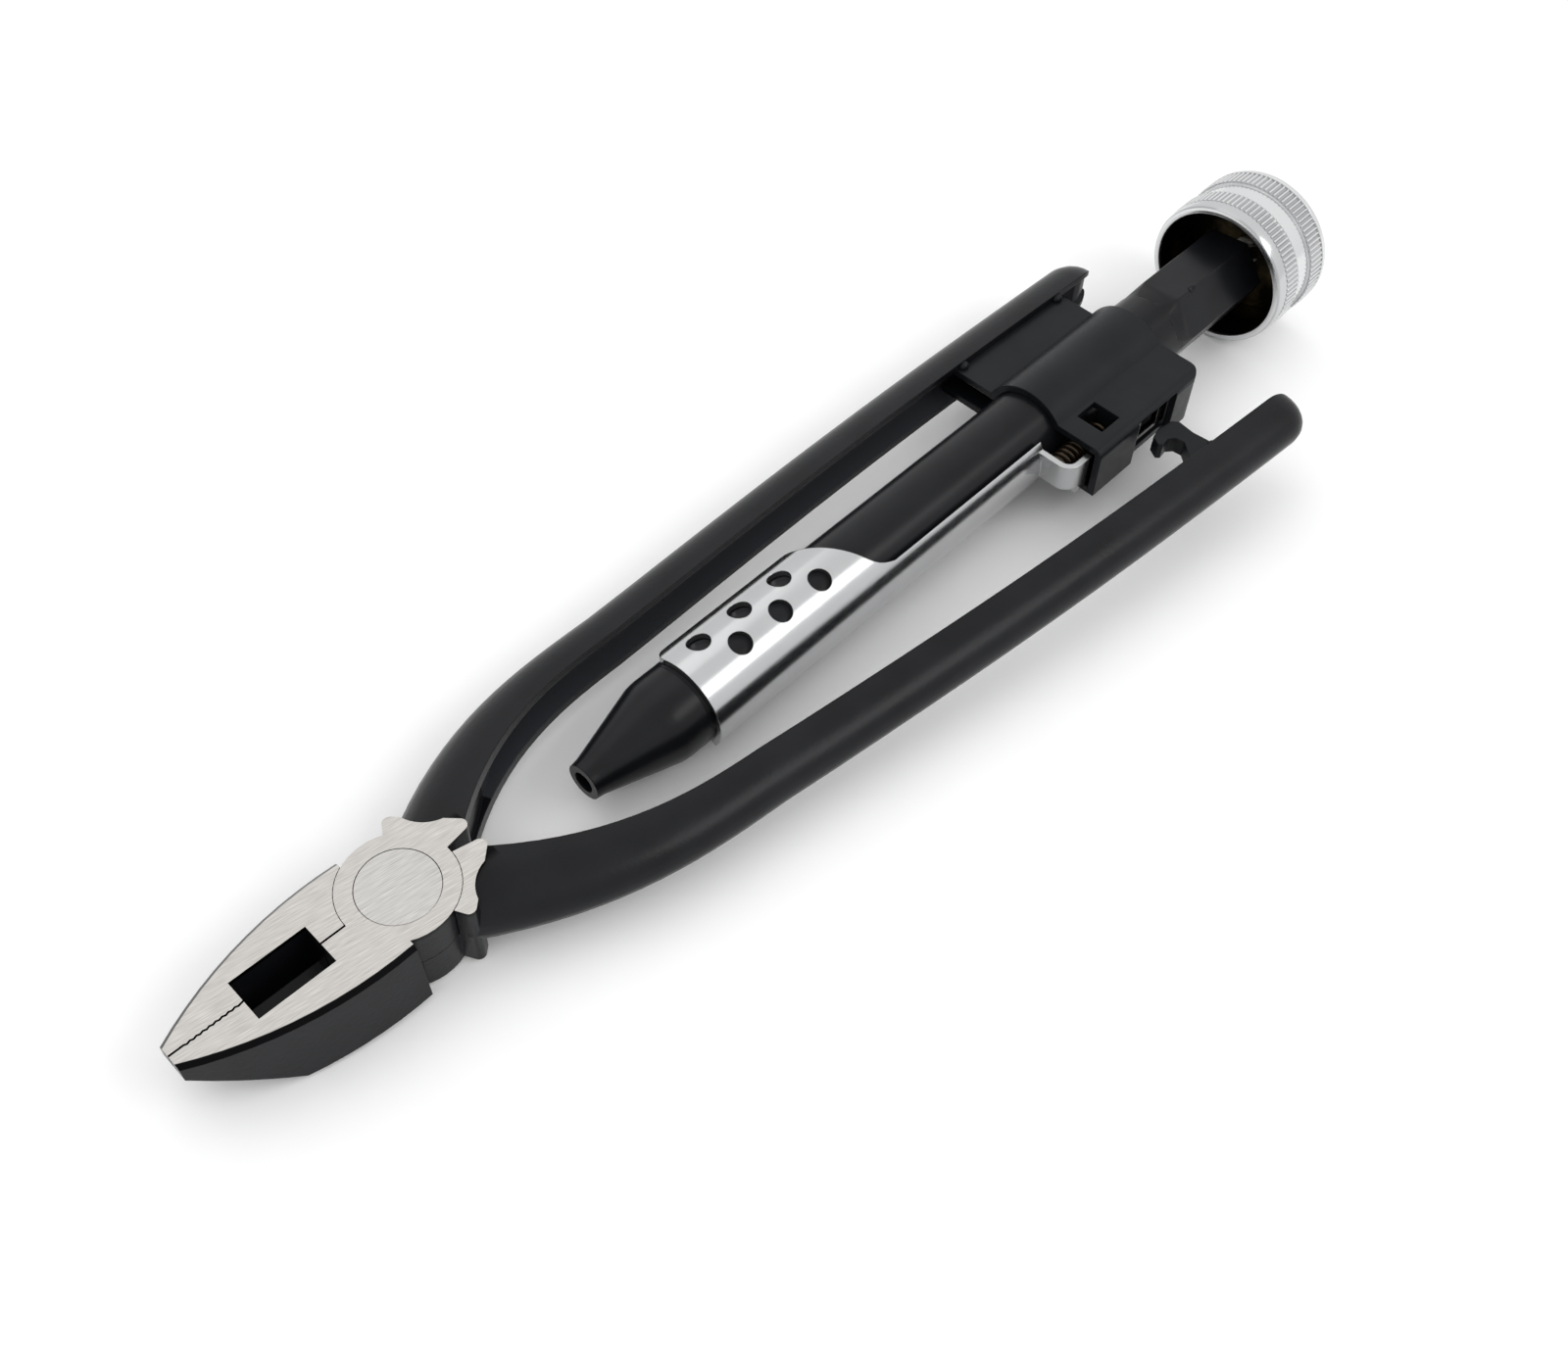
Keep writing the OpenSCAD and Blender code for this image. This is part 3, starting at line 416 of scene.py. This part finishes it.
sheet_links.new(sheet_bevel.outputs["Normal"], sheet_bump.inputs["Normal"])
sheet_links.new(sheet_bump.outputs["Normal"], sheet_shader.inputs["Normal"])
for name, body in (("bracket_top_shell", "frame"), ("bracket_bottom_shell", "frame"),
                   ("bracket_weld_beads", "frame"), ("hook_plate", "moving_handle"),
                   ("hook_weld_beads", "moving_handle")):
    sheet_piece = refined_copy(name)
    sheet_piece.data.materials.append(sheet_look)
    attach(sheet_piece, body)
    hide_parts(name)

# Barrel and its nose: a drawn steel tube with a hexagonal rear end and a turned cone in front, in a
# black satin finish with faint turning marks. The bracket holds the tube.
barrel_look = bpy.data.materials.new("black satin tube")
barrel_look.use_nodes = True
barrel_nodes = barrel_look.node_tree.nodes
barrel_links = barrel_look.node_tree.links
barrel_shader = barrel_nodes["Principled BSDF"]
barrel_brush = barrel_nodes.new("ShaderNodeGroup")
barrel_brush.node_tree = brushed
barrel_brush.inputs["Stretch"].default_value = (2600, 120, 120)
barrel_tone = barrel_nodes.new("ShaderNodeValToRGB")
barrel_tone.color_ramp.elements[0].position = 0.3
barrel_tone.color_ramp.elements[0].color = (0.0035, 0.0038, 0.0048, 1)
barrel_tone.color_ramp.elements[1].position = 0.75
barrel_tone.color_ramp.elements[1].color = (0.0075, 0.008, 0.0098, 1)
barrel_links.new(barrel_brush.outputs["Clouds"], barrel_tone.inputs["Fac"])
barrel_links.new(barrel_tone.outputs["Color"], barrel_shader.inputs["Base Color"])
barrel_shader.inputs["Specular IOR Level"].default_value = 0.2
barrel_rough = barrel_nodes.new("ShaderNodeMapRange")
barrel_rough.inputs["To Min"].default_value = 0.26
barrel_rough.inputs["To Max"].default_value = 0.31
barrel_links.new(barrel_brush.outputs["Lines"], barrel_rough.inputs["Value"])
barrel_links.new(barrel_rough.outputs["Result"], barrel_shader.inputs["Roughness"])
barrel_bevel = barrel_nodes.new("ShaderNodeBevel")
barrel_bevel.samples = 4
barrel_bevel.inputs["Radius"].default_value = 0.0003
barrel_links.new(barrel_bevel.outputs["Normal"], barrel_shader.inputs["Normal"])
for name in ("barrel_tube", "barrel_nose"):
    barrel_piece = refined_copy(name)
    barrel_piece.data.materials.append(barrel_look)
    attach(barrel_piece, "frame")
    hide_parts(name)

# Twist nut and guide collar: turned brass, inside the barrel. The nut is fast in the tube and turns
# the rod, and the collar slides with the rod's front end.
brass_look = bpy.data.materials.new("brass")
brass_look.use_nodes = True
brass_nodes = brass_look.node_tree.nodes
brass_links = brass_look.node_tree.links
brass_shader = brass_nodes["Principled BSDF"]
brass_brush = brass_nodes.new("ShaderNodeGroup")
brass_brush.node_tree = brushed
brass_brush.inputs["Stretch"].default_value = (3000, 200, 200)
brass_tone = brass_nodes.new("ShaderNodeValToRGB")
brass_tone.color_ramp.elements[0].color = (0.36, 0.25, 0.09, 1)
brass_tone.color_ramp.elements[1].color = (0.62, 0.46, 0.2, 1)
brass_links.new(brass_brush.outputs["Lines"], brass_tone.inputs["Fac"])
brass_links.new(brass_tone.outputs["Color"], brass_shader.inputs["Base Color"])
brass_shader.inputs["Metallic"].default_value = 1.0
brass_shader.inputs["Roughness"].default_value = 0.35
for name, body in (("twist_nut", "frame"), ("rod_guide_collar", "rod_carrier")):
    brass_piece = refined_copy(name)
    brass_piece.data.materials.append(brass_look)
    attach(brass_piece, body)
    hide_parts(name)

# Spiral rod and the small steel pieces: a twisted flat bar with its clip, the ring and the bush in the
# barrel, and the washer and screw that hold the knob. Bare steel with a light film of oil.
steel_look = bpy.data.materials.new("oiled steel")
steel_look.use_nodes = True
steel_nodes = steel_look.node_tree.nodes
steel_links = steel_look.node_tree.links
steel_shader = steel_nodes["Principled BSDF"]
steel_brush = steel_nodes.new("ShaderNodeGroup")
steel_brush.node_tree = brushed
steel_brush.inputs["Stretch"].default_value = (300, 2500, 2500)
steel_tone = steel_nodes.new("ShaderNodeValToRGB")
steel_tone.color_ramp.elements[0].color = (0.28, 0.27, 0.25, 1)
steel_tone.color_ramp.elements[1].color = (0.55, 0.54, 0.52, 1)
steel_links.new(steel_brush.outputs["Lines"], steel_tone.inputs["Fac"])
steel_links.new(steel_tone.outputs["Color"], steel_shader.inputs["Base Color"])
steel_shader.inputs["Metallic"].default_value = 1.0
steel_rough = steel_nodes.new("ShaderNodeMapRange")
steel_rough.inputs["To Min"].default_value = 0.22
steel_rough.inputs["To Max"].default_value = 0.4
steel_links.new(steel_brush.outputs["Clouds"], steel_rough.inputs["Value"])
steel_links.new(steel_rough.outputs["Result"], steel_shader.inputs["Roughness"])
for name, body in (("nut_front_ring", "frame"), ("barrel_end_bush", "frame"),
                   ("spiral_rod", "twist_rod"), ("collar_clip", "twist_rod"),
                   ("knob_washer", "twist_rod"), ("knob_screw", "twist_rod")):
    steel_piece = refined_copy(name)
    steel_piece.data.materials.append(steel_look)
    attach(steel_piece, body)
    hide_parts(name)

# Lock slider: polished chromed sheet, pierced and rolled round the barrel, on which it slides, with
# faint handling scratches. The tail inside the lock box is painted dark, as painted shade.
bright_until, tail_shade_from = 0.1225, 0.1275
chrome_look = bpy.data.materials.new("chromed sheet")
chrome_look.use_nodes = True
chrome_nodes = chrome_look.node_tree.nodes
chrome_links = chrome_look.node_tree.links
chrome_shader = chrome_nodes["Principled BSDF"]
chrome_brush = chrome_nodes.new("ShaderNodeGroup")
chrome_brush.node_tree = brushed
chrome_brush.inputs["Stretch"].default_value = (500, 1500, 1500)
chrome_tone = chrome_nodes.new("ShaderNodeValToRGB")
chrome_tone.color_ramp.elements[0].color = (0.47, 0.475, 0.48, 1)
chrome_tone.color_ramp.elements[1].color = (0.55, 0.555, 0.56, 1)
chrome_links.new(chrome_brush.outputs["Clouds"], chrome_tone.inputs["Fac"])
chrome_place = chrome_nodes.new("ShaderNodeTexCoord")
chrome_axis = chrome_nodes.new("ShaderNodeSeparateXYZ")
chrome_links.new(chrome_place.outputs["Object"], chrome_axis.inputs["Vector"])
# Painted shade: the chrome turns dark past the slider's bright part, on the tail inside the lock box.
chrome_tail_shade = chrome_nodes.new("ShaderNodeMapRange")
chrome_tail_shade.inputs["From Min"].default_value = bright_until
chrome_tail_shade.inputs["From Max"].default_value = tail_shade_from
chrome_links.new(chrome_axis.outputs["X"], chrome_tail_shade.inputs["Value"])
chrome_colour = chrome_nodes.new("ShaderNodeMix")
chrome_colour.data_type = "RGBA"
chrome_colour.inputs["B"].default_value = (0.09, 0.088, 0.085, 1)
chrome_links.new(chrome_tail_shade.outputs["Result"], chrome_colour.inputs["Factor"])
chrome_links.new(chrome_tone.outputs["Color"], chrome_colour.inputs["A"])
chrome_links.new(chrome_colour.outputs["Result"], chrome_shader.inputs["Base Color"])
chrome_shader.inputs["Metallic"].default_value = 1.0
chrome_rough = chrome_nodes.new("ShaderNodeMapRange")
chrome_rough.inputs["To Min"].default_value = 0.14
chrome_rough.inputs["To Max"].default_value = 0.24
chrome_links.new(chrome_brush.outputs["Lines"], chrome_rough.inputs["Value"])
chrome_links.new(chrome_rough.outputs["Result"], chrome_shader.inputs["Roughness"])
chrome_bevel = chrome_nodes.new("ShaderNodeBevel")
chrome_bevel.samples = 4
chrome_bevel.inputs["Radius"].default_value = 0.00025
chrome_links.new(chrome_bevel.outputs["Normal"], chrome_shader.inputs["Normal"])
slider = refined_copy("lock_slider")
slider.data.materials.append(chrome_look)
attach(slider, "lock_bar")
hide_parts("lock_slider")

# Lock spring: brownish tempered wire, coiled between the slider's bent leg and the box's lanced tab.
# It is built once, at rest.
coil_low, coil_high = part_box("lock_spring")
wire_r = 0.00035
coil_turns = 10
coil_r = (coil_high[1] - coil_low[1]) / 2 - wire_r
coil_y = (coil_low[1] + coil_high[1]) / 2
coil_z = (coil_low[2] + coil_high[2]) / 2
coil_from = coil_low[0] + wire_r
coil_run = coil_high[0] - coil_low[0] - 2 * wire_r
turn_steps = 28
wire_sides = 10
ring_steps = coil_turns * turn_steps
coil_verts = []
coil_faces = []
for i in range(ring_steps + 1):
    turn = 2 * math.pi * i / turn_steps
    for k in range(wire_sides):
        round_wire = 2 * math.pi * k / wire_sides
        radius = coil_r + wire_r * math.cos(round_wire)
        coil_verts.append((coil_from + coil_run * i / ring_steps + wire_r * math.sin(round_wire),
                           coil_y + radius * math.cos(turn),
                           coil_z + radius * math.sin(turn)))
for i in range(ring_steps):
    for k in range(wire_sides):
        j = (k + 1) % wire_sides
        here, ahead = i * wire_sides, (i + 1) * wire_sides
        coil_faces.append((here + k, here + j, ahead + j, ahead + k))
coil_faces.append(tuple(range(wire_sides - 1, -1, -1)))
coil_faces.append(tuple(ring_steps * wire_sides + k for k in range(wire_sides)))
coil_mesh = bpy.data.meshes.new("lock_spring_look")
coil_mesh.from_pydata(coil_verts, [], coil_faces)
coil_mesh.shade_smooth()
coil = bpy.data.objects.new("lock_spring_look", coil_mesh)
scene.collection.objects.link(coil)
wire_look = bpy.data.materials.new("tempered wire")
wire_look.use_nodes = True
wire_nodes = wire_look.node_tree.nodes
wire_links = wire_look.node_tree.links
wire_shader = wire_nodes["Principled BSDF"]
wire_brush = wire_nodes.new("ShaderNodeGroup")
wire_brush.node_tree = brushed
wire_brush.inputs["Stretch"].default_value = (800, 800, 800)
wire_tone = wire_nodes.new("ShaderNodeValToRGB")
wire_tone.color_ramp.elements[0].color = (0.014, 0.010, 0.007, 1)
wire_tone.color_ramp.elements[1].color = (0.075, 0.056, 0.036, 1)
wire_links.new(wire_brush.outputs["Lines"], wire_tone.inputs["Fac"])
wire_links.new(wire_tone.outputs["Color"], wire_shader.inputs["Base Color"])
wire_shader.inputs["Metallic"].default_value = 0.9
wire_shader.inputs["Roughness"].default_value = 0.35
coil_mesh.materials.append(wire_look)
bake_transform(coil)
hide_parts("lock_spring")

# Knob: a turned cup, chromed bright, with two knurled bands, held on the rod by a screw.
# Its hollow front has grease with brass dust in it, and the knurl's grooves are painted darker, as
# painted shade.
barrel_axis_y = -0.0013
barrel_axis_z = 0.005
rim_radius, hollow_radius = 0.01176, 0.01162
hollow_end, hollow_full = 0.1910, 0.1905
crest_radius, groove_radius = 0.01296, 0.01284
wall_radius, band_radius = 0.01260, 0.01272
knob_look = bpy.data.materials.new("chromed knob")
knob_look.use_nodes = True
knob_nodes = knob_look.node_tree.nodes
knob_links = knob_look.node_tree.links
knob_shader = knob_nodes["Principled BSDF"]
knob_brush = knob_nodes.new("ShaderNodeGroup")
knob_brush.node_tree = brushed
knob_brush.inputs["Stretch"].default_value = (2500, 120, 120)
knob_place = knob_nodes.new("ShaderNodeTexCoord")
knob_centre = knob_nodes.new("ShaderNodeVectorMath")
knob_centre.operation = "SUBTRACT"
knob_centre.inputs[1].default_value = (0, barrel_axis_y, barrel_axis_z)
knob_links.new(knob_place.outputs["Object"], knob_centre.inputs[0])
knob_flat = knob_nodes.new("ShaderNodeVectorMath")
knob_flat.operation = "MULTIPLY"
knob_flat.inputs[1].default_value = (0, 1, 1)
knob_links.new(knob_centre.outputs["Vector"], knob_flat.inputs[0])
knob_radius = knob_nodes.new("ShaderNodeVectorMath")
knob_radius.operation = "LENGTH"
knob_links.new(knob_flat.outputs["Vector"], knob_radius.inputs[0])
knob_inner = knob_nodes.new("ShaderNodeMapRange")
knob_inner.inputs["From Min"].default_value = rim_radius
knob_inner.inputs["From Max"].default_value = hollow_radius
knob_links.new(knob_radius.outputs["Value"], knob_inner.inputs["Value"])
knob_axis = knob_nodes.new("ShaderNodeSeparateXYZ")
knob_links.new(knob_place.outputs["Object"], knob_axis.inputs["Vector"])
knob_front = knob_nodes.new("ShaderNodeMapRange")
knob_front.inputs["From Min"].default_value = hollow_end
knob_front.inputs["From Max"].default_value = hollow_full
knob_links.new(knob_axis.outputs["X"], knob_front.inputs["Value"])
knob_grease = knob_nodes.new("ShaderNodeMath")
knob_grease.operation = "MULTIPLY"
knob_links.new(knob_inner.outputs["Result"], knob_grease.inputs[0])
knob_links.new(knob_front.outputs["Result"], knob_grease.inputs[1])
knob_dirt = knob_nodes.new("ShaderNodeValToRGB")
knob_dirt.color_ramp.elements[0].position = 0.5
knob_dirt.color_ramp.elements[0].color = (0.015, 0.013, 0.010, 1)
knob_dirt.color_ramp.elements[1].position = 0.72
knob_dirt.color_ramp.elements[1].color = (0.17, 0.128, 0.064, 1)
knob_links.new(knob_brush.outputs["Clouds"], knob_dirt.inputs["Fac"])
knob_colour = knob_nodes.new("ShaderNodeMix")
knob_colour.data_type = "RGBA"
knob_colour.inputs["A"].default_value = (0.70, 0.705, 0.71, 1)
knob_links.new(knob_grease.outputs["Value"], knob_colour.inputs["Factor"])
knob_links.new(knob_dirt.outputs["Color"], knob_colour.inputs["B"])
# Painted shade: between crest and groove radius, within the knurled bands, the chrome is set darker.
knob_root = knob_nodes.new("ShaderNodeMapRange")
knob_root.inputs["From Min"].default_value = crest_radius
knob_root.inputs["From Max"].default_value = groove_radius
knob_links.new(knob_radius.outputs["Value"], knob_root.inputs["Value"])
knob_band = knob_nodes.new("ShaderNodeMapRange")
knob_band.inputs["From Min"].default_value = wall_radius
knob_band.inputs["From Max"].default_value = band_radius
knob_links.new(knob_radius.outputs["Value"], knob_band.inputs["Value"])
knob_groove_shade = knob_nodes.new("ShaderNodeMath")
knob_groove_shade.operation = "MULTIPLY"
knob_links.new(knob_root.outputs["Result"], knob_groove_shade.inputs[0])
knob_links.new(knob_band.outputs["Result"], knob_groove_shade.inputs[1])
knob_shade = knob_nodes.new("ShaderNodeMix")
knob_shade.data_type = "RGBA"
knob_shade.inputs["B"].default_value = (0.42, 0.425, 0.43, 1)
knob_links.new(knob_groove_shade.outputs["Value"], knob_shade.inputs["Factor"])
knob_links.new(knob_colour.outputs["Result"], knob_shade.inputs["A"])
knob_links.new(knob_shade.outputs["Result"], knob_shader.inputs["Base Color"])
knob_shader.inputs["Metallic"].default_value = 1.0
knob_rough = knob_nodes.new("ShaderNodeMapRange")
knob_rough.inputs["To Min"].default_value = 0.18
knob_rough.inputs["To Max"].default_value = 0.45
knob_links.new(knob_grease.outputs["Value"], knob_rough.inputs["Value"])
knob_links.new(knob_rough.outputs["Result"], knob_shader.inputs["Roughness"])
knob_bevel = knob_nodes.new("ShaderNodeBevel")
knob_bevel.samples = 4
knob_bevel.inputs["Radius"].default_value = 0.00025
knob_links.new(knob_bevel.outputs["Normal"], knob_shader.inputs["Normal"])
knob = refined_copy("knob")
knob.data.materials.append(knob_look)
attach(knob, "twist_rod")
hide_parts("knob")

# Knurling: straight ridges rolled into the knob's two bands and chromed with it. One small bar,
# set on its edge, is repeated round the axis.
ridge_count = 88
ridge_radius = 0.0126
ridge_length = 0.0034
ridge_width = 0.0007
front_band_x = 0.1840
rear_band_x = 0.1914
knurl_tree = bpy.data.node_groups.new("knurled band", "GeometryNodeTree")
knurl_sockets = {}
for label, kind in (("Count", "NodeSocketInt"), ("Radius", "NodeSocketFloat"),
                    ("Length", "NodeSocketFloat"), ("Width", "NodeSocketFloat"),
                    ("Centre", "NodeSocketVector"), ("Look", "NodeSocketMaterial")):
    socket = knurl_tree.interface.new_socket(label, in_out="INPUT", socket_type=kind)
    knurl_sockets[label] = socket.identifier
knurl_tree.interface.new_socket("Geometry", in_out="OUTPUT", socket_type="NodeSocketGeometry")
knurl_nodes = knurl_tree.nodes
knurl_links = knurl_tree.links
knurl_in = knurl_nodes.new("NodeGroupInput")
knurl_out = knurl_nodes.new("NodeGroupOutput")
knurl_circle = knurl_nodes.new("GeometryNodeMeshCircle")
knurl_links.new(knurl_in.outputs["Count"], knurl_circle.inputs["Vertices"])
knurl_links.new(knurl_in.outputs["Radius"], knurl_circle.inputs["Radius"])
knurl_turn = knurl_nodes.new("GeometryNodeTransform")
knurl_turn.inputs["Rotation"].default_value = (0, math.pi / 2, 0)
knurl_links.new(knurl_circle.outputs["Mesh"], knurl_turn.inputs["Geometry"])
knurl_size = knurl_nodes.new("ShaderNodeCombineXYZ")
knurl_links.new(knurl_in.outputs["Length"], knurl_size.inputs["X"])
knurl_links.new(knurl_in.outputs["Width"], knurl_size.inputs["Y"])
knurl_links.new(knurl_in.outputs["Width"], knurl_size.inputs["Z"])
knurl_bar = knurl_nodes.new("GeometryNodeMeshCube")
knurl_links.new(knurl_size.outputs["Vector"], knurl_bar.inputs["Size"])
knurl_edge = knurl_nodes.new("GeometryNodeTransform")
knurl_edge.inputs["Rotation"].default_value = (math.pi / 4, 0, 0)
knurl_links.new(knurl_bar.outputs["Mesh"], knurl_edge.inputs["Geometry"])
knurl_point = knurl_nodes.new("GeometryNodeInputPosition")
knurl_align = knurl_nodes.new("FunctionNodeAlignRotationToVector")
knurl_align.axis = "Z"
knurl_align.pivot_axis = "X"
knurl_links.new(knurl_point.outputs["Position"], knurl_align.inputs["Vector"])
knurl_copies = knurl_nodes.new("GeometryNodeInstanceOnPoints")
knurl_links.new(knurl_turn.outputs["Geometry"], knurl_copies.inputs["Points"])
knurl_links.new(knurl_edge.outputs["Geometry"], knurl_copies.inputs["Instance"])
knurl_links.new(knurl_align.outputs["Rotation"], knurl_copies.inputs["Rotation"])
knurl_place = knurl_nodes.new("GeometryNodeTransform")
knurl_links.new(knurl_copies.outputs["Instances"], knurl_place.inputs["Geometry"])
knurl_links.new(knurl_in.outputs["Centre"], knurl_place.inputs["Translation"])
knurl_real = knurl_nodes.new("GeometryNodeRealizeInstances")
knurl_links.new(knurl_place.outputs["Geometry"], knurl_real.inputs["Geometry"])
knurl_paint = knurl_nodes.new("GeometryNodeSetMaterial")
knurl_links.new(knurl_real.outputs["Geometry"], knurl_paint.inputs["Geometry"])
knurl_links.new(knurl_in.outputs["Look"], knurl_paint.inputs["Material"])
knurl_links.new(knurl_paint.outputs["Geometry"], knurl_out.inputs["Geometry"])
for label, middle in (("front", front_band_x), ("rear", rear_band_x)):
    knurl = bpy.data.objects.new("knob_knurl_" + label, bpy.data.meshes.new("knob_knurl_" + label))
    scene.collection.objects.link(knurl)
    repeat = knurl.modifiers.new("knurl", "NODES")
    repeat.node_group = knurl_tree
    repeat[knurl_sockets["Count"]] = ridge_count
    repeat[knurl_sockets["Radius"]] = ridge_radius
    repeat[knurl_sockets["Length"]] = ridge_length
    repeat[knurl_sockets["Width"]] = ridge_width
    repeat[knurl_sockets["Centre"]] = (middle, barrel_axis_y, barrel_axis_z)
    repeat[knurl_sockets["Look"]] = knob_look
    finished = knurl.evaluated_get(bpy.context.evaluated_depsgraph_get())
    knurl.data = bpy.data.meshes.new_from_object(finished)
    knurl.modifiers.clear()
    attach(knurl, "twist_rod")
